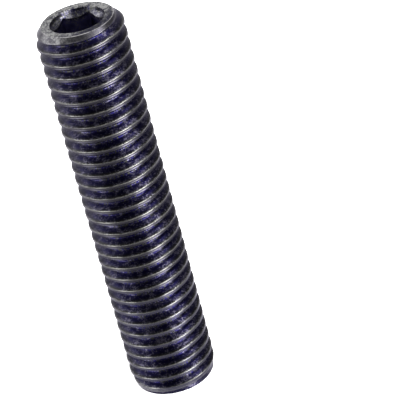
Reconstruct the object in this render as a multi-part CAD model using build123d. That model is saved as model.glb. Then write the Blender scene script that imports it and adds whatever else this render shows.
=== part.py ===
from build123d import *
import os
from math import ceil, cos, pi, radians, sin, tan

# A hex socket set screw, standing on its point with the socket up.
# The origin is the middle of the point face, and +Z runs up the screw. All sizes are in millimetres.

# Screw
screw_length = 46.0
nominal_diameter = 10.0
thread_pitch = 1.5
thread_angle = 60.0
crest_allowance = 0.1        # the finished crest lies this far inside the nominal radius
first_crest_drop = 1.18      # from the socket face down to the first crest, on the +X side
steps_per_turn = 32          # straight runs that stand for one turn, a multiple of four

# Socket end
face_inset = 0.1             # the flat face ends this far inside the thread root
face_chamfer_angle = 40.0    # measured from the axis

# Hex socket
across_flats = 5.0
socket_depth = 6.0
socket_drill_angle = 120.0
mouth_margin = 0.16          # from a hex corner out to the round mouth
mouth_depth = 0.45
mouth_draft = 8.0            # the lean of the mouth's wall
lead_in_angle = 45.0         # the cone from the mouth down to the flats, measured from the axis

# Point end
point_land = 0.7             # the plain stretch below the last groove
point_taper = 1.6            # the crests reach full height at this distance from the point
point_edge_break = 0.1

# Cuts of the sharp thread triangle, as shares of its height, that leave the crest and the root
crest_cut = 1 / 8
root_cut = 1 / 6

flank_slope = tan(radians(thread_angle / 2))
sharp_height = thread_pitch / 2 / flank_slope
nominal_radius = nominal_diameter / 2
sharp_radius = nominal_radius + sharp_height * crest_cut
crest_radius = nominal_radius - crest_allowance
root_radius = sharp_radius - sharp_height * (1 - root_cut)
blank_radius = (crest_radius + root_radius) / 2
face_radius = root_radius - face_inset

flat_radius = across_flats / 2
corner_radius = flat_radius / cos(radians(30))
mouth_radius = corner_radius + mouth_margin
mouth_floor_radius = mouth_radius - mouth_depth * tan(radians(mouth_draft))

same_reach = 1e-6            # points nearer than this to one radius count as lying on it


def turned(*outline):
    """The solid turned from an outline of (radius, height) points."""
    return revolve(Plane.XZ * make_face(Polyline(*outline, close=True)), Axis.Z)


def facet(*corners):
    return Face(Wire.make_polygon(corners, close=True))


def helix_points(radius, height):
    """One turn of a right-hand helix as points, starting on the +X side.

    Near the point the groove runs out: no point lies inside the plain land or the slope above it.
    """
    points = []
    for step in range(steps_per_turn + 1):
        turned_share = step / steps_per_turn
        angle = 2 * pi * turned_share
        z = height + thread_pitch * turned_share
        reach = max(radius, blank_radius - max(0, z - point_land))
        points.append(Vector(reach * cos(angle), reach * sin(angle), z))
    return points


def strip(lower, upper):
    """The facets between two helices: one panel a step where it is flat, else two triangles."""
    facets = []
    for corners in zip(lower, lower[1:], upper[1:], upper):
        reaches = [Vector(corner.X, corner.Y, 0).length for corner in corners]
        if max(reaches) - min(reaches) < same_reach:
            facets.append(facet(*corners))
        else:
            start, end, end_above, start_above = corners
            facets.append(facet(start, end, end_above))
            facets.append(facet(start, end_above, start_above))
    return facets


def bar_end(profile, helix):
    """Closes one end of the bar: a half plane through the axis, and a fan of facets."""
    middle = Vector(0, 0, profile[0].Z)
    fan = [facet(middle, start, end) for start, end in zip(helix, helix[1:])]
    return [facet(middle, *profile), *fan]


def threaded_bar():
    """A right-hand threaded bar, one pitch or more longer than the screw at each end.

    Each turn has four strips: flank, crest, flank and root. Neighbours share their helices.
    """
    turns_below = ceil((screw_length - first_crest_drop) / thread_pitch) + 1
    turns_above = ceil(first_crest_drop / thread_pitch) + 1
    turns = turns_below + turns_above
    first_crest = screw_length - first_crest_drop - turns_below * thread_pitch

    half_crest = (sharp_radius - crest_radius) * flank_slope
    half_foot = (sharp_radius - root_radius) * flank_slope
    ridge = [
        (root_radius, -half_foot),
        (crest_radius, -half_crest),
        (crest_radius, half_crest),
        (root_radius, half_foot),
    ]
    corners = [
        (radius, first_crest + turn * thread_pitch + offset)
        for turn in range(turns)
        for radius, offset in ridge
    ]
    corners.append((root_radius, first_crest + turns * thread_pitch - half_foot))

    helices = [helix_points(radius, height) for radius, height in corners]
    facets = []
    for lower, upper in zip(helices, helices[1:]):
        facets += strip(lower, upper)
    one_turn = len(ridge) + 1
    facets += bar_end([helix[0] for helix in helices[:one_turn]], helices[0])
    facets += bar_end([helix[-1] for helix in helices[-one_turn:]], helices[-1])
    return Solid(Shell(facets))


def end_trim():
    """What both ends are trimmed to: a long taper at the point and a chamfer at the socket face."""
    outside = nominal_radius + crest_allowance
    taper_slope = (crest_radius - blank_radius) / point_taper
    return turned(
        (0, 0),
        (blank_radius - point_edge_break, 0),
        (blank_radius + point_edge_break * taper_slope, point_edge_break),
        (outside, (outside - blank_radius) / taper_slope),
        (outside, screw_length - (outside - face_radius) / tan(radians(face_chamfer_angle))),
        (face_radius, screw_length),
        (0, screw_length),
    )


def socket():
    """The round mouth, the cone that leads in, the hexagon and the drill cone at its floor."""
    mouth_floor = screw_length - mouth_depth
    lead_in_foot = mouth_floor - (mouth_floor_radius - flat_radius) / tan(radians(lead_in_angle))
    hex_floor = screw_length - socket_depth
    drill_tip = hex_floor - flat_radius / tan(radians(socket_drill_angle / 2))

    mouth = turned(
        (0, screw_length),
        (mouth_radius, screw_length),
        (mouth_floor_radius, mouth_floor),
        (flat_radius, lead_in_foot),
        (0, lead_in_foot),
    )
    hexagon = extrude(Pos(0, 0, hex_floor) * RegularPolygon(corner_radius, 6), socket_depth)
    drill_cone = turned((0, hex_floor), (flat_radius, hex_floor), (0, drill_tip))
    return mouth + hexagon + drill_cone


def set_screw():
    return threaded_bar() & (end_trim() - socket())


os.makedirs("parts", exist_ok=True)
export_step(set_screw().solid(), "parts/set_screw.step")
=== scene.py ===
from math import atan2, ceil, cos, pi, radians, sin, tan

import bmesh
import bpy
from mathutils import Matrix, Vector


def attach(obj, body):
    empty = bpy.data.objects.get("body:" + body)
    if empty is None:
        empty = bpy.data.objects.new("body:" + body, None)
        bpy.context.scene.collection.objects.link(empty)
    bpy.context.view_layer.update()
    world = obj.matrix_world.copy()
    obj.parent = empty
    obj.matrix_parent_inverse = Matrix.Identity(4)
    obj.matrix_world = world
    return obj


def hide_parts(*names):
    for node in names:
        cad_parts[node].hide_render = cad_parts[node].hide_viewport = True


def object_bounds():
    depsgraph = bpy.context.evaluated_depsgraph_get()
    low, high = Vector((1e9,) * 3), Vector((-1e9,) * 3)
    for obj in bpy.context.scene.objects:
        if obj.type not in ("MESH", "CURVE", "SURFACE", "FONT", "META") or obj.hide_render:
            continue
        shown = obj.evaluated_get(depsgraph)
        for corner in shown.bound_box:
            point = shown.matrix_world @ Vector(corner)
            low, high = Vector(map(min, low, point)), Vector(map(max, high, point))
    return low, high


mm = 0.001

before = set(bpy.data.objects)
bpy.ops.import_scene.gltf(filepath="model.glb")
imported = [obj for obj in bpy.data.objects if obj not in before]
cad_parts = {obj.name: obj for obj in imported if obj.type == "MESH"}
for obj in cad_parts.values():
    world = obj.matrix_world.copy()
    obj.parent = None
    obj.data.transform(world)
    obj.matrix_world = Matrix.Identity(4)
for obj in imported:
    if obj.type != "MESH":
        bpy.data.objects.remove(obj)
loadedBox = [list(corner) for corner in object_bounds()]
screwTop = loadedBox[1][2]
crestRadius = loadedBox[1][0]
print("frame loaded, screw", round(screwTop / mm, 2), "mm long")

# Thread. Lengths in metres.
threadSizes = {
    "pitch": 1.5 * mm,
    "sharpRadius": 5.1624 * mm,     # where the flanks would meet above the crest
    "rootRadius": 4.0797 * mm,
    "flankAngle": 30,               # degrees from square to the axis
    "firstCrestDrop": 1.18 * mm,    # from the socket face down to the first crest, on the +X side
    "crestRounding": 0.07 * mm,
    "rootRounding": 0.22 * mm,
    "crestSag": 0.04 * mm,          # how far the crest reaches further down than up
    "seamDepth": 0.05 * mm,         # the shallow fold along the crest
    "seamWidth": 0.085 * mm,
    "seamDrop": 0.03 * mm,          # how far the fold lies below the middle of the crest
    "seamFade": (11 * mm, 17 * mm),         # the fold is rubbed away below these heights
    "fullCrest": (4.86 * mm, 4.89 * mm),    # the fold shows where the crest is left this high
    "nickDepth": 0.06 * mm,
    "nickScale": 900,
    "nickDetail": 3.0,
    "nickRoughness": 0.6,
    "nickChance": (0.55, 0.75),     # nicks lie where the noise is above these
    "columns": 108,                 # a multiple of 12
    "rowsPerPitch": 20,
    "rowCrowding": 0.5,             # 0 spreads the rows evenly, more draws them to crest and root
}

# Point end
pointSizes = {
    "blankRadius": 4.4899 * mm,
    "land": 0.7 * mm,
    "taper": 1.6 * mm,
    "runOutRounding": 0.1 * mm,
    "taperRounding": 0.05 * mm,
    "edgeBreak": 0.1 * mm,
    "edgeSteps": 5,
    "edgeWidth": 1.4,               # this and the corner are shares of the edge break
    "edgeCorner": (0.2, 0.15),
    "edgeRubbed": -0.2,
    "faceShares": (0.97, 0.6, 0.25),        # rings of the flat, as shares of its radius
    "facePaleness": 0.2,
    "rubbedFrom": (0.3 * mm, 0.5 * mm),     # a rubbed band runs round the point
    "rubbedTo": (0.9 * mm, 1.2 * mm),       # from the first heights to the second
    "rubbedReach": (4.25 * mm, 4.4 * mm),   # only what stands out this far is rubbed
    "rubbedPaleness": 0.3,
}

# Socket end. Angles in degrees.
socketSizes = {
    "faceRadius": 3.98 * mm,
    "chamferAngle": 40,
    "chamferRounding": 0.04 * mm,
    "chamferFade": 0.05 * mm,       # the chamfer is pale where it cuts this deep
    "chamferPaleness": 0.38,
    "edgeRounding": 0.065 * mm,
    "roundingSteps": 4,
    "rimRubbed": 0.05,
    "acrossFlats": 5.0 * mm,
    "depth": 6.0 * mm,
    "drillAngle": 120,
    "drillShares": (1.0, 0.5),
    "mouthMargin": 0.16 * mm,
    "mouthDepth": 0.45 * mm,
    "mouthDraft": 8,
    "mouthPaleness": 0.12,
    "leadInAngle": 45,
    "leadInRings": ((0.12, 0.33), (0.5, 0.33), (0.94, 0.33), (1.0, 0.1)),   # share, paleness
    "wallRows": 8,
}

# Mesh of the whole screw
meshSizes = {
    "mergeDistance": 0.003 * mm,    # points of the shank nearer than this are one point
    "weldDistance": 0.002 * mm,     # the same where the ends join it
    "sharpAngle": 42,               # degrees
}

unrubbed = -1.0                     # well away from any rubbed edge
hexWall = -1.0                      # given in place of a paleness, it marks the hexagon's walls
justShort = 1e-4                    # radians short of a full turn that still count as its start


def addNode(tree, kind, **settings):
    node = tree.nodes.new(kind)
    for name, value in settings.items():
        setattr(node, name, value)
    return node


def join(tree, source, target):
    if isinstance(source, bpy.types.NodeSocket):
        tree.links.new(source, target)
    else:
        target.default_value = source


def calc(tree, operation, *values):
    node = addNode(tree, "ShaderNodeMath", operation=operation)
    for value, target in zip(values, node.inputs):
        join(tree, value, target)
    return node.outputs[0]


def noise(tree, place, scale, detail, roughness):
    node = addNode(tree, "ShaderNodeTexNoise")
    for name, value in (("Vector", place), ("Scale", scale), ("Detail", detail),
                        ("Roughness", roughness)):
        join(tree, value, node.inputs[name])
    return node.outputs[0]


def band(tree, value, low, high, bottom=0.0, top=1.0):
    node = addNode(tree, "ShaderNodeMapRange", interpolation_type="SMOOTHSTEP")
    for name, given in (("Value", value), ("From Min", low), ("From Max", high),
                        ("To Min", bottom), ("To Max", top)):
        join(tree, given, node.inputs[name])
    return node.outputs[0]


# Threaded shank: a sheet of helical rows, wrapped round the axis and set to the thread's section

def threadInputs():
    thread, point, socket = threadSizes, pointSizes, socketSizes
    firstCrest = screwTop - thread["firstCrestDrop"]
    sheetTop = screwTop - socket["edgeRounding"] * cos(radians(socket["chamferAngle"]))
    pitchesBelow = ceil((firstCrest - point["edgeBreak"]) / thread["pitch"]) + 1
    sheetStart = firstCrest - pitchesBelow * thread["pitch"]
    pitches = ceil((sheetTop - sheetStart) / thread["pitch"])
    values = {
        "Pitch": thread["pitch"],
        "Crest Radius": crestRadius,
        "Root Radius": thread["rootRadius"],
        "Sharp Radius": thread["sharpRadius"],
        "Flank Slope": tan(radians(thread["flankAngle"])),
        "Crest Rounding": thread["crestRounding"],
        "Root Rounding": thread["rootRounding"],
        "Crest Sag": thread["crestSag"],
        "Seam Depth": thread["seamDepth"],
        "Seam Width": thread["seamWidth"],
        "Seam Drop": thread["seamDrop"],
        "Nick Depth": thread["nickDepth"],
        "Nick Scale": thread["nickScale"],
        "Nick Detail": thread["nickDetail"],
        "Nick Roughness": thread["nickRoughness"],
        "First Crest": firstCrest,
        "Sheet Start": sheetStart,
        "Sheet Bottom": point["edgeBreak"],
        "Sheet Top": sheetTop,
        "Pitches": pitches,
        "Columns": thread["columns"] + 1,
        "Rows": pitches * thread["rowsPerPitch"] + 1,
        "Row Crowding": thread["rowCrowding"],
        "Merge Distance": meshSizes["mergeDistance"],
        "Blank Radius": point["blankRadius"],
        "Land": point["land"],
        "Run Out Rounding": point["runOutRounding"],
        "Point Taper": point["taper"],
        "Taper Rounding": point["taperRounding"],
        "Point Paleness": point["rubbedPaleness"],
        "Face Height": screwTop,
        "Face Radius": socket["faceRadius"],
        "Chamfer Slope": tan(radians(socket["chamferAngle"])),
        "Chamfer Rounding": socket["chamferRounding"],
        "Chamfer Fade": socket["chamferFade"],
        "Chamfer Paleness": socket["chamferPaleness"],
    }
    spans = {
        "Seam Fade": thread["seamFade"],
        "Full Crest": thread["fullCrest"],
        "Nick Chance": thread["nickChance"],
        "Rubbed From": point["rubbedFrom"],
        "Rubbed To": point["rubbedTo"],
        "Rubbed Reach": point["rubbedReach"],
    }
    for name, (low, high) in spans.items():
        values[name + " Low"] = low
        values[name + " High"] = high
    return values


def span(given, name):
    return given[name + " Low"], given[name + " High"]


def makeThreadTree(values, material):
    tree = bpy.data.node_groups.new("threadedShank", "GeometryNodeTree")
    tree.interface.new_socket("Geometry", in_out="OUTPUT", socket_type="NodeSocketGeometry")
    for name, value in values.items():
        kind = "NodeSocketInt" if isinstance(value, int) else "NodeSocketFloat"
        tree.interface.new_socket(name, in_out="INPUT", socket_type=kind)
    given = addNode(tree, "NodeGroupInput").outputs

    grid = addNode(tree, "GeometryNodeMeshGrid")
    join(tree, 1.0, grid.inputs["Size X"])
    join(tree, 1.0, grid.inputs["Size Y"])
    join(tree, given["Columns"], grid.inputs["Vertices X"])
    join(tree, given["Rows"], grid.inputs["Vertices Y"])

    # Where each point of the sheet goes: round the axis by its column, up the helix by its row
    place = addNode(tree, "ShaderNodeSeparateXYZ")
    join(tree, addNode(tree, "GeometryNodeInputPosition").outputs[0], place.inputs[0])
    share = calc(tree, "ADD", place.outputs["X"], 0.5)
    angle = calc(tree, "MULTIPLY", share, 2 * pi)
    row = calc(tree, "MULTIPLY", calc(tree, "ADD", place.outputs["Y"], 0.5), given["Pitches"])
    swing = calc(tree, "SINE", calc(tree, "MULTIPLY", row, 4 * pi))
    shift = calc(tree, "MULTIPLY", calc(tree, "DIVIDE", swing, 4 * pi), given["Row Crowding"])
    turned = calc(tree, "ADD", calc(tree, "SUBTRACT", row, shift), share)
    climbed = calc(tree, "MULTIPLY", turned, given["Pitch"])
    height = calc(tree, "ADD", given["Sheet Start"], climbed)
    height = calc(tree, "MINIMUM", height, given["Sheet Top"])
    height = calc(tree, "MAXIMUM", height, given["Sheet Bottom"])

    # Distance along the axis from the middle of the nearest crest
    aboveFirst = calc(tree, "SUBTRACT", height, given["First Crest"])
    phase = calc(tree, "SUBTRACT", calc(tree, "DIVIDE", aboveFirst, given["Pitch"]), share)
    offset = calc(tree, "SUBTRACT", phase, calc(tree, "ROUND", phase))
    above = calc(tree, "MULTIPLY", calc(tree, "MAXIMUM", offset, 0.0), given["Pitch"])
    below = calc(tree, "MAXIMUM", calc(tree, "MULTIPLY", offset, -1.0), 0.0)
    below = calc(tree, "MULTIPLY", below, given["Pitch"])
    below = calc(tree, "MAXIMUM", calc(tree, "SUBTRACT", below, given["Crest Sag"]), 0.0)
    fromCrest = calc(tree, "ADD", above, below)

    # Section of the thread, with a fold and a few nicks in its crest
    around = addNode(tree, "ShaderNodeCombineXYZ")
    for axis, operation in (("X", "COSINE"), ("Y", "SINE")):
        side = calc(tree, "MULTIPLY", calc(tree, operation, angle), given["Crest Radius"])
        join(tree, side, around.inputs[axis])
    join(tree, height, around.inputs["Z"])
    chance = noise(tree, around.outputs[0], given["Nick Scale"],
                   given["Nick Detail"], given["Nick Roughness"])
    nicked = band(tree, chance, *span(given, "Nick Chance"))
    nick = calc(tree, "MULTIPLY", nicked, given["Nick Depth"])
    fromSeam = calc(tree, "MULTIPLY_ADD", offset, given["Pitch"], given["Seam Drop"])
    spread = calc(tree, "DIVIDE", fromSeam, given["Seam Width"])
    spread = calc(tree, "MULTIPLY", spread, spread)
    folded = band(tree, height, *span(given, "Seam Fade"))
    folded = calc(tree, "DIVIDE", folded, calc(tree, "EXPONENT", spread))
    seam = calc(tree, "MULTIPLY", given["Seam Depth"], folded)
    crest = calc(tree, "SUBTRACT", given["Crest Radius"], calc(tree, "ADD", seam, nick))
    drop = calc(tree, "DIVIDE", fromCrest, given["Flank Slope"])
    flank = calc(tree, "SUBTRACT", given["Sharp Radius"], drop)
    reach = calc(tree, "SMOOTH_MIN", flank, crest, given["Crest Rounding"])
    reach = calc(tree, "SMOOTH_MAX", reach, given["Root Radius"], given["Root Rounding"])

    # The groove runs out at the point, and both ends are trimmed
    aboveLand = calc(tree, "MAXIMUM", calc(tree, "SUBTRACT", height, given["Land"]), 0.0)
    runOut = calc(tree, "SUBTRACT", given["Blank Radius"], aboveLand)
    reach = calc(tree, "SMOOTH_MAX", reach, runOut, given["Run Out Rounding"])
    widening = calc(tree, "SUBTRACT", given["Crest Radius"], given["Blank Radius"])
    widened = calc(tree, "MULTIPLY", calc(tree, "DIVIDE", height, given["Point Taper"]), widening)
    taper = calc(tree, "ADD", given["Blank Radius"], widened)
    reach = calc(tree, "SMOOTH_MIN", reach, taper, given["Taper Rounding"])
    belowFace = calc(tree, "SUBTRACT", given["Face Height"], height)
    chamfer = calc(tree, "MULTIPLY_ADD", belowFace, given["Chamfer Slope"], given["Face Radius"])
    reach = calc(tree, "SMOOTH_MIN", reach, chamfer, given["Chamfer Rounding"])

    # What the finish reads. "rubbed" is above 0 on whatever trims a ridge, below 0 on its flanks;
    # it places both the rubbed crests and the painted highlights along their edges
    depth = calc(tree, "SUBTRACT", given["Crest Radius"], given["Root Radius"])
    outness = calc(tree, "DIVIDE", calc(tree, "SUBTRACT", reach, given["Root Radius"]), depth)
    trim = calc(tree, "MINIMUM", calc(tree, "MINIMUM", taper, chamfer), given["Crest Radius"])
    rubbed = calc(tree, "DIVIDE", calc(tree, "SUBTRACT", flank, trim), mm)
    inSeam = calc(tree, "MULTIPLY", band(tree, trim, *span(given, "Full Crest")), folded)
    uncut = calc(tree, "MINIMUM", flank, given["Crest Radius"])
    onChamfer = band(tree, calc(tree, "SUBTRACT", uncut, chamfer), 0.0, given["Chamfer Fade"],
                     0.0, given["Chamfer Paleness"])
    overLand = band(tree, height, *span(given, "Rubbed From"))
    underTurns = band(tree, height, *span(given, "Rubbed To"), 1.0, 0.0)
    standsOut = band(tree, reach, *span(given, "Rubbed Reach"), 0.0, given["Point Paleness"])
    onPoint = calc(tree, "MULTIPLY", calc(tree, "MULTIPLY", overLand, underTurns), standsOut)
    attributes = {
        "outness": outness,
        "rubbed": rubbed,
        "inSeam": inSeam,
        "paleness": calc(tree, "MAXIMUM", onChamfer, onPoint),
        "aboveCrest": calc(tree, "SINE", calc(tree, "MULTIPLY", phase, 2 * pi)),
    }

    shape = grid.outputs["Mesh"]
    for name, value in attributes.items():
        store = addNode(tree, "GeometryNodeStoreNamedAttribute", data_type="FLOAT", domain="POINT")
        join(tree, shape, store.inputs["Geometry"])
        join(tree, name, store.inputs["Name"])
        join(tree, value, store.inputs["Value"])
        shape = store.outputs["Geometry"]

    target = addNode(tree, "ShaderNodeCombineXYZ")
    for axis, operation in (("X", "COSINE"), ("Y", "SINE")):
        side = calc(tree, "MULTIPLY", calc(tree, operation, angle), reach)
        join(tree, side, target.inputs[axis])
    join(tree, height, target.inputs["Z"])
    move = addNode(tree, "GeometryNodeSetPosition")
    join(tree, shape, move.inputs["Geometry"])
    join(tree, target.outputs[0], move.inputs["Position"])
    merge = addNode(tree, "GeometryNodeMergeByDistance")
    join(tree, move.outputs[0], merge.inputs["Geometry"])
    join(tree, given["Merge Distance"], merge.inputs["Distance"])
    realize = addNode(tree, "GeometryNodeRealizeInstances")
    join(tree, merge.outputs[0], realize.inputs[0])
    paint = addNode(tree, "GeometryNodeSetMaterial")
    join(tree, realize.outputs[0], paint.inputs["Geometry"])
    join(tree, material, paint.inputs["Material"])
    join(tree, paint.outputs[0], addNode(tree, "NodeGroupOutput").inputs[0])
    return tree


def makeShankMesh(values, material):
    tree = makeThreadTree(values, material)
    shank = bpy.data.objects.new("shank", bpy.data.meshes.new("shank"))
    bpy.context.scene.collection.objects.link(shank)
    modifier = shank.modifiers.new("thread", "NODES")
    modifier.node_group = tree
    for item in tree.interface.items_tree:
        if item.in_out == "INPUT":
            modifier[item.identifier] = values[item.name]
    shaped = shank.evaluated_get(bpy.context.evaluated_depsgraph_get())
    mesh = bpy.data.meshes.new_from_object(shaped)
    bpy.data.objects.remove(shank)
    print("shank made,", values["Pitches"], "pitches of helical rows")
    return mesh


# Ends: rings of points that carry on from the shank's two rims, each with its paleness and wear

def hexRadius(angle):
    return socketSizes["acrossFlats"] / 2 / cos(angle % (pi / 3) - pi / 6)


def roundedCorner(start, corner, end, steps):
    points = []
    for step in range(1, steps + 1):
        t = step / steps
        points.append(tuple((1 - t) ** 2 * a + 2 * t * (1 - t) * b + t * t * c
                            for a, b, c in zip(start, corner, end)))
    return points


def towards(start, end, distance):
    a, b = Vector(start), Vector(end)
    return tuple(a + (b - a).normalized() * distance)


def socketRings(columns):
    sizes = socketSizes
    rounding, steps = sizes["edgeRounding"], sizes["roundingSteps"]
    slope = tan(radians(sizes["chamferAngle"]))
    mouthRadius = hexRadius(0) + sizes["mouthMargin"]
    mouthFloor = screwTop - sizes["mouthDepth"]
    floorRadius = mouthRadius - sizes["mouthDepth"] * tan(radians(sizes["mouthDraft"]))
    hexFloor = screwTop - sizes["depth"]
    flat = sizes["acrossFlats"] / 2

    # Rim, face and mouth
    rim = (sizes["faceRadius"], screwTop)
    mouth = (mouthRadius, screwTop)
    foot = (floorRadius, mouthFloor)
    rimStart = (rim[0] + rounding * cos(radians(sizes["chamferAngle"])) * slope,
                screwTop - rounding * cos(radians(sizes["chamferAngle"])))
    outline = roundedCorner(rimStart, rim, towards(rim, mouth, rounding), steps)
    outline += [towards(rim, mouth, 2 * rounding), towards(mouth, rim, 2 * rounding)]
    outline += [towards(mouth, rim, rounding)]
    outline += roundedCorner(outline[-1], mouth, towards(mouth, foot, rounding), steps)
    wallStart = len(outline)
    outline += [towards(mouth, foot, 2 * rounding), towards(foot, mouth, rounding), foot]
    rings = []
    for place, (radius, height) in enumerate(outline):
        paleness = sizes["mouthPaleness"] if place >= wallStart else 1.0
        rubbed = sizes["rimRubbed"] if place < steps else unrubbed
        rings.append(([(radius, height)] * columns, paleness, rubbed))

    # Lead-in cone, down to where it meets each flat
    coneSlope = 1 / tan(radians(sizes["leadInAngle"]))
    angles = [2 * pi * column / columns for column in range(columns)]
    meeting = [mouthFloor - (floorRadius - hexRadius(angle)) * coneSlope for angle in angles]
    for share, paleness in sizes["leadInRings"]:
        ring = [(floorRadius + (hexRadius(angle) - floorRadius) * share,
                 mouthFloor + (height - mouthFloor) * share)
                for angle, height in zip(angles, meeting)]
        rings.append((ring, paleness, unrubbed))

    # Hexagon and drill cone
    for step in range(1, sizes["wallRows"] + 1):
        share = step / sizes["wallRows"]
        ring = [(hexRadius(angle), height + (hexFloor - height) * share)
                for angle, height in zip(angles, meeting)]
        rings.append((ring, hexWall, unrubbed))
    drillSlope = 1 / tan(radians(sizes["drillAngle"] / 2))
    for share in sizes["drillShares"]:
        place = (flat * share, hexFloor - flat * (1 - share) * drillSlope)
        rings.append(([place] * columns, hexWall, unrubbed))
    return rings, hexFloor - flat * drillSlope


def pointRings(rim):
    sizes = pointSizes
    edgeBreak, steps = sizes["edgeBreak"], sizes["edgeSteps"]
    cornerIn, cornerUp = sizes["edgeCorner"]
    end = (sizes["blankRadius"] - sizes["edgeWidth"] * edgeBreak, 0.0)
    edges = [roundedCorner((radius, height), (radius - cornerIn * edgeBreak, cornerUp * edgeBreak),
                           end, steps)
             for radius, height in rim]
    rings = [([edge[step] for edge in edges], 0.0, sizes["edgeRubbed"]) for step in range(steps)]
    for share in sizes["faceShares"]:
        ring = [(end[0] * share, 0.0)] * len(rim)
        rings.append((ring, sizes["facePaleness"], unrubbed))
    return rings, 0.0


def addRings(mesh, rim, rings, tip, layers):
    columns = len(rim)
    previous = rim
    for ring, paleness, rubbed in rings:
        current = []
        for column, (radius, height) in enumerate(ring):
            angle = 2 * pi * column / columns
            vertex = mesh.verts.new((radius * cos(angle), radius * sin(angle), height))
            vertex[layers["rubbed"]] = rubbed
            vertex[layers["paleness"]] = max(paleness, 0.0)
            vertex[layers["outness"]] = min(paleness, 0.0)
            current.append(vertex)
        for column in range(columns):
            after = (column + 1) % columns
            mesh.faces.new((previous[column], previous[after], current[after], current[column]))
        previous = current
    middle = mesh.verts.new((0, 0, tip))
    middle[layers["rubbed"]] = unrubbed
    for column in range(columns):
        mesh.faces.new((previous[column], previous[(column + 1) % columns], middle))


def rimAt(mesh, height):
    rim = [vertex for vertex in mesh.verts
           if abs(vertex.co.z - height) < meshSizes["mergeDistance"]]
    return sorted(rim, key=lambda vertex: atan2(vertex.co.y, vertex.co.x) % (2 * pi - justShort))


def makeScrew(material):
    values = threadInputs()
    shankMesh = makeShankMesh(values, material)
    mesh = bmesh.new()
    mesh.from_mesh(shankMesh)
    layers = {name: mesh.verts.layers.float[name] for name in ("rubbed", "paleness", "outness")}
    topRim = rimAt(mesh, values["Sheet Top"])
    pointRim = rimAt(mesh, values["Sheet Bottom"])
    print("rims", len(topRim), len(pointRim))
    addRings(mesh, topRim, *socketRings(len(topRim)), layers)
    pointOutline = [(vertex.co.xy.length, vertex.co.z) for vertex in pointRim]
    addRings(mesh, pointRim, *pointRings(pointOutline), layers)
    bmesh.ops.remove_doubles(mesh, verts=mesh.verts, dist=meshSizes["weldDistance"])
    bmesh.ops.recalc_face_normals(mesh, faces=mesh.faces)
    openEdges = sum(1 for edge in mesh.edges if len(edge.link_faces) != 2)
    print("screw faces", len(mesh.faces), "open edges", openEdges)
    for face in mesh.faces:
        face.material_index = 0
    mesh.to_mesh(shankMesh)
    mesh.free()
    shankMesh.materials.clear()
    shankMesh.materials.append(material)
    shankMesh.name = "setScrew"
    shankMesh.shade_smooth()
    shankMesh.set_sharp_from_angle(angle=radians(meshSizes["sharpAngle"]))
    screw = bpy.data.objects.new("setScrew", shankMesh)
    bpy.context.scene.collection.objects.link(screw)
    return screw


# Black oxide, blue in the grooves, rubbed to dull steel on the crests and to grey on the face
finishSizes = {
    "groove": (0.004, 0.0034, 0.018, 1),
    "shoulder": (0.006, 0.006, 0.005, 1),
    "shoulderAt": (0.3, 0.95),      # where it starts and is complete, as shares of the depth
    # painted light: the oxide blue of the socket's walls is lightened, standing in for light
    # reaching into the socket
    "walls": (0.028, 0.025, 0.080, 1),
    "wallsAt": (-0.8, -0.2),
    "haze": (0.047, 0.044, 0.063, 1),
    "hazeAt": (0.51, 0.60),
    "comb": (0.013, 0.013, 0.012, 1),
    "combDepth": 0.45,              # streaks fade out a little short of this share of the depth
    "combStreaks": (0.46, 0.58),
    "combAt": (-0.45, -0.12),
    "crest": (0.018, 0.017, 0.021, 1),
    "lowCrest": (0.022, 0.021, 0.031, 1),   # below where the fold is rubbed away
    "crestAt": (-0.06, 0.03),       # "rubbed" is in millimetres, here and in what is compared to it
    "crestUneven": 0.25,
    "darkFoot": (0.15 * mm, 0.45 * mm),     # the screw stays dark round the edge of its point
    "footHold": 0.5,
    "upperSideAt": (-0.3, 0.3),
    # edge lines: rubbed steel with a painted highlight, brighter on the upper edge than on the
    # lower one and on the socket's rim
    "upperRubAndHighlight": (0.078, 0.078, 0.071, 1),
    "lowerRubAndHighlight": (0.024, 0.023, 0.031, 1),
    "rimRubAndHighlight": (0.21, 0.205, 0.21, 1),
    "linePlace": 0.08,
    "lineCore": 0.02,
    "lineEnd": 0.11,
    "upperLineShift": -0.06,
    "upperLineWider": 0.03,
    "lineGrain": (0.36, 0.56, 0.1, 1.0),    # where it starts and is complete, and its two strengths
    "linePatches": (0.25, 0.55, 0.2, 1.0),
    "fold": (0.016, 0.015, 0.019, 1),
    "foldNarrowing": 3.0,
    "foldGrain": (0.3, 0.5, 0.5, 1.0),
    "face": (0.210, 0.210, 0.206, 1),
    "faceGrain": (0.44, 0.57, 0.15, 1.0),
    # painted shade: the face, chamfer and lead-in are darkened by this share on the side towards
    # the direction below, over the distances after it
    "paintedShadeDepth": 0.85,
    "paintedShadeSide": (0.55, -0.83, 0.0),
    "paintedShadeAt": (1.2 * mm, 3.6 * mm),
    "faceAt": (0.45, 0.9),          # paleness that only the socket face has
    "patches": (420, 2, 0.5),       # scale, detail and roughness of each noise
    "mottle": (1300, 3, 0.6),
    "grain": (5800, 3, 0.65),
    "streaks": (4600, 2, 0.6),
    "streakStretch": (1, 1, 0.25),
    "grainShare": 0.6,              # the rest of the speckle is mottle
    "grazing": (0.90, 0.88, 0.95, 1),
    "roughness": (0.34, 0.46),
    "roughnessAt": (0.3, 0.7),
    "faceRoughness": 0.45,          # added on the socket face
    "alongTurns": 0.75,             # how much highlights are stretched across the turning marks
    "marksTurn": 0.25,              # a quarter turn, which lays the marks round the axis
    "bumpDistance": 0.02 * mm,
    "bumpStrength": 0.6,
}


def attribute(tree, name):
    return addNode(tree, "ShaderNodeAttribute", attribute_name=name).outputs["Fac"]


def mixColour(tree, share, first, second):
    node = addNode(tree, "ShaderNodeMix", data_type="RGBA")
    join(tree, share, node.inputs["Factor"])
    join(tree, first, node.inputs[6])
    join(tree, second, node.inputs[7])
    return node.outputs[2]


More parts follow.
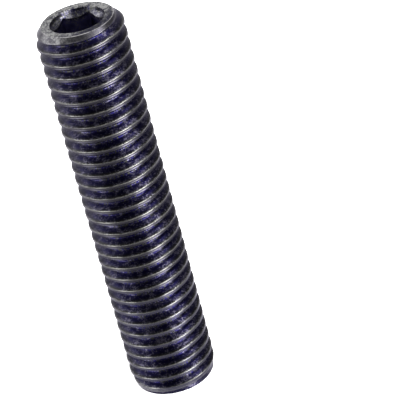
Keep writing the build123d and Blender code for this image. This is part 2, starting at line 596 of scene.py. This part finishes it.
def makeFinish():
    look = finishSizes
    material = bpy.data.materials.new("blackOxideSteel")
    material.use_nodes = True
    tree = material.node_tree
    shader = tree.nodes["Principled BSDF"]
    place = addNode(tree, "ShaderNodeTexCoord").outputs["Object"]
    stretch = addNode(tree, "ShaderNodeMapping")
    join(tree, place, stretch.inputs["Vector"])
    join(tree, look["streakStretch"], stretch.inputs["Scale"])
    split = addNode(tree, "ShaderNodeSeparateXYZ")
    join(tree, place, split.inputs[0])
    height = split.outputs["Z"]
    outness = attribute(tree, "outness")
    paleness = attribute(tree, "paleness")
    patches = noise(tree, place, *look["patches"])
    mottle = noise(tree, place, *look["mottle"])
    grain = noise(tree, place, *look["grain"])
    streaks = noise(tree, stretch.outputs[0], *look["streaks"])
    blotches = calc(tree, "MULTIPLY", mottle, 1 - look["grainShare"])
    speckle = calc(tree, "MULTIPLY_ADD", grain, look["grainShare"], blotches)

    # Oxide, with a pale haze, and the socket's walls lightened with painted light
    inShoulder = band(tree, outness, *look["shoulderAt"])
    colour = mixColour(tree, inShoulder, look["groove"], look["shoulder"])
    colour = mixColour(tree, band(tree, outness, *look["wallsAt"], 1.0, 0.0), colour, look["walls"])
    colour = mixColour(tree, band(tree, speckle, *look["hazeAt"]), colour, look["haze"])

    # Streaks like a comb's teeth stand up from the root
    teeth = band(tree, streaks, *look["combStreaks"])
    fromRoot = calc(tree, "ABSOLUTE", outness)
    combed = calc(tree, "MULTIPLY_ADD", teeth, -look["combDepth"], fromRoot)
    combed = band(tree, combed, *look["combAt"], 1.0, 0.0)
    colour = mixColour(tree, combed, colour, look["comb"])

    # Crests are rubbed dull, with an uneven edge, and the rubbed colour fades out towards the foot
    uneven = calc(tree, "SUBTRACT", streaks, 0.5)
    uneven = calc(tree, "MULTIPLY", uneven, look["crestUneven"])
    reached = calc(tree, "ADD", attribute(tree, "rubbed"), uneven)
    held = band(tree, height, *look["darkFoot"], look["footHold"], 0.0)
    reached = calc(tree, "SUBTRACT", reached, held)
    higherUp = band(tree, height, *threadSizes["seamFade"])
    crest = mixColour(tree, higherUp, look["lowCrest"], look["crest"])
    colour = mixColour(tree, band(tree, reached, *look["crestAt"]), colour, crest)

    # Socket face, chamfer and lead-in are greyer, with painted shade that darkens them on one side
    aside = addNode(tree, "ShaderNodeVectorMath", operation="DOT_PRODUCT")
    join(tree, place, aside.inputs[0])
    join(tree, look["paintedShadeSide"], aside.inputs[1])
    # painted shade: darker on one side of the socket end
    lit = band(tree, aside.outputs["Value"], *look["paintedShadeAt"], 1.0, 1.0 - look["paintedShadeDepth"])
    pale = calc(tree, "MULTIPLY", paleness, lit)
    pale = calc(tree, "MULTIPLY", pale, band(tree, speckle, *look["faceGrain"]))
    colour = mixColour(tree, pale, colour, look["face"])

    # Edges are rubbed bright in patches and carry a painted highlight, stronger on the upper edge
    # above the crest than on the lower edge below it
    upperSide = band(tree, attribute(tree, "aboveCrest"), *look["upperSideAt"])
    patchy = calc(tree, "MULTIPLY", band(tree, speckle, *look["lineGrain"]),
                  band(tree, patches, *look["linePatches"]))
    linePlace = calc(tree, "MULTIPLY_ADD", upperSide, look["upperLineShift"], look["linePlace"])
    fromLine = calc(tree, "ABSOLUTE", calc(tree, "SUBTRACT", reached, linePlace))
    lineEnd = calc(tree, "MULTIPLY_ADD", upperSide, look["upperLineWider"], look["lineEnd"])
    bright = band(tree, fromLine, look["lineCore"], lineEnd, 1.0, 0.0)
    bright = calc(tree, "MULTIPLY", bright, patchy)
    # painted highlight: the upper edge line is lighter than the lower one, as if lit from above
    line = mixColour(tree, upperSide, look["lowerRubAndHighlight"], look["upperRubAndHighlight"])
    line = mixColour(tree, paleness, line, look["rimRubAndHighlight"])
    colour = mixColour(tree, bright, colour, line)

    # The fold in the crest stays dark
    fold = calc(tree, "POWER", attribute(tree, "inSeam"), look["foldNarrowing"])
    fold = calc(tree, "MULTIPLY", fold, band(tree, grain, *look["foldGrain"]))
    colour = mixColour(tree, fold, colour, look["fold"])

    join(tree, colour, shader.inputs["Base Color"])
    join(tree, 1.0, shader.inputs["Metallic"])
    join(tree, look["grazing"], shader.inputs["Specular Tint"])
    onFace = band(tree, paleness, *look["faceAt"])
    rougher = calc(tree, "MULTIPLY", onFace, look["faceRoughness"])
    rough = band(tree, mottle, *look["roughnessAt"], *look["roughness"])
    join(tree, calc(tree, "ADD", rough, rougher), shader.inputs["Roughness"])

    # Turning marks run round the axis, none on the socket face
    around = addNode(tree, "ShaderNodeVectorMath", operation="CROSS_PRODUCT")
    join(tree, (0, 0, 1), around.inputs[0])
    join(tree, place, around.inputs[1])
    join(tree, around.outputs["Vector"], shader.inputs["Tangent"])
    marks = calc(tree, "MULTIPLY_ADD", onFace, -look["alongTurns"], look["alongTurns"])
    join(tree, marks, shader.inputs["Anisotropic"])
    join(tree, look["marksTurn"], shader.inputs["Anisotropic Rotation"])

    bump = addNode(tree, "ShaderNodeBump")
    join(tree, look["bumpStrength"], bump.inputs["Strength"])
    join(tree, look["bumpDistance"], bump.inputs["Distance"])
    join(tree, speckle, bump.inputs["Height"])
    join(tree, bump.outputs[0], shader.inputs["Normal"])
    print("finish made")
    return material


# Studio. Angles in degrees, azimuths from +X, lamps aimed at the middle of the screw.
cameraSizes = {
    "place": (0.0, -0.2373, 0.15475),
    "yaw": 1.87,
    "pitch": -29.42,
    "roll": 14.70,
    "lens": 221.5,
    "clipStart": 0.01,
}
studioSizes = {
    "floorWidth": 3.0,
    "floorColour": (0.93, 0.93, 0.93, 1),
    "floorRoughness": 0.9,
    "worldStrength": 0.9,
    "lampDistance": 0.5,
}
lampSizes = {
    "key": {"azimuth": -53, "elevation": 8, "width": 0.24, "height": 0.14, "power": 11.5},
    "fill": {"azimuth": -163, "elevation": 14, "width": 0.30, "height": 0.14, "power": 4.2},
    "rim": {"azimuth": -18, "elevation": 52, "width": 0.10, "height": 0.10, "power": 3.0},
    "back": {"azimuth": 148, "elevation": 34, "width": 0.25, "height": 0.25, "power": 1.6},
}


def addCamera():
    yaw, pitch, roll = (radians(cameraSizes[key]) for key in ("yaw", "pitch", "roll"))
    forward = Vector((sin(yaw) * cos(pitch), cos(yaw) * cos(pitch), sin(pitch)))
    level = Vector((cos(yaw), -sin(yaw), 0))
    down = forward.cross(level)
    right = cos(roll) * level + sin(roll) * down
    up = sin(roll) * level - cos(roll) * down
    camera = bpy.data.objects.new("camera", bpy.data.cameras.new("camera"))
    camera.data.lens = cameraSizes["lens"]
    camera.data.clip_start = cameraSizes["clipStart"]
    turn = Matrix((right, up, -forward)).transposed().to_4x4()
    camera.matrix_world = Matrix.Translation(cameraSizes["place"]) @ turn
    bpy.context.scene.collection.objects.link(camera)
    bpy.context.scene.camera = camera


def addLamps():
    middle = Vector((0, 0, screwTop / 2))
    for name, sizes in lampSizes.items():
        azimuth, elevation = radians(sizes["azimuth"]), radians(sizes["elevation"])
        level = cos(elevation)
        outwards = Vector((level * cos(azimuth), level * sin(azimuth), sin(elevation)))
        lamp = bpy.data.objects.new(name, bpy.data.lights.new(name, "AREA"))
        lamp.data.shape = "RECTANGLE"
        lamp.data.size = sizes["width"]
        lamp.data.size_y = sizes["height"]
        lamp.data.energy = sizes["power"]
        lamp.location = middle + outwards * studioSizes["lampDistance"]
        lamp.rotation_euler = outwards.to_track_quat("Z", "Y").to_euler()
        bpy.context.scene.collection.objects.link(lamp)


def addFloor():
    half = studioSizes["floorWidth"] / 2
    corners = [(-half, -half, 0), (half, -half, 0), (half, half, 0), (-half, half, 0)]
    mesh = bpy.data.meshes.new("floor")
    mesh.from_pydata(corners, [], [(0, 1, 2, 3)])
    floor = bpy.data.objects.new("floor", mesh)
    material = bpy.data.materials.new("paleFloor")
    material.use_nodes = True
    shader = material.node_tree.nodes["Principled BSDF"]
    shader.inputs["Base Color"].default_value = studioSizes["floorColour"]
    shader.inputs["Roughness"].default_value = studioSizes["floorRoughness"]
    mesh.materials.append(material)
    bpy.context.scene.collection.objects.link(floor)


def addWorld():
    world = bpy.data.worlds.new("studio")
    bpy.context.scene.world = world
    world.use_nodes = True
    tree = world.node_tree
    background = tree.nodes["Background"]
    rays = addNode(tree, "ShaderNodeLightPath").outputs
    seen = calc(tree, "MAXIMUM", rays["Is Camera Ray"], rays["Is Glossy Ray"])
    seen = calc(tree, "MAXIMUM", seen, rays["Is Transmission Ray"])
    plain = studioSizes["worldStrength"]
    join(tree, calc(tree, "MULTIPLY_ADD", seen, 1 - plain, plain), background.inputs["Strength"])
    background.inputs["Color"].default_value = (1, 1, 1, 1)


finish = makeFinish()
screw = makeScrew(finish)
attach(screw, "root")
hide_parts("set_screw")

addFloor()
addWorld()
addCamera()
addLamps()
bpy.context.scene.view_settings.view_transform = "Standard"
print("studio ready,", len(lampSizes), "lamps")
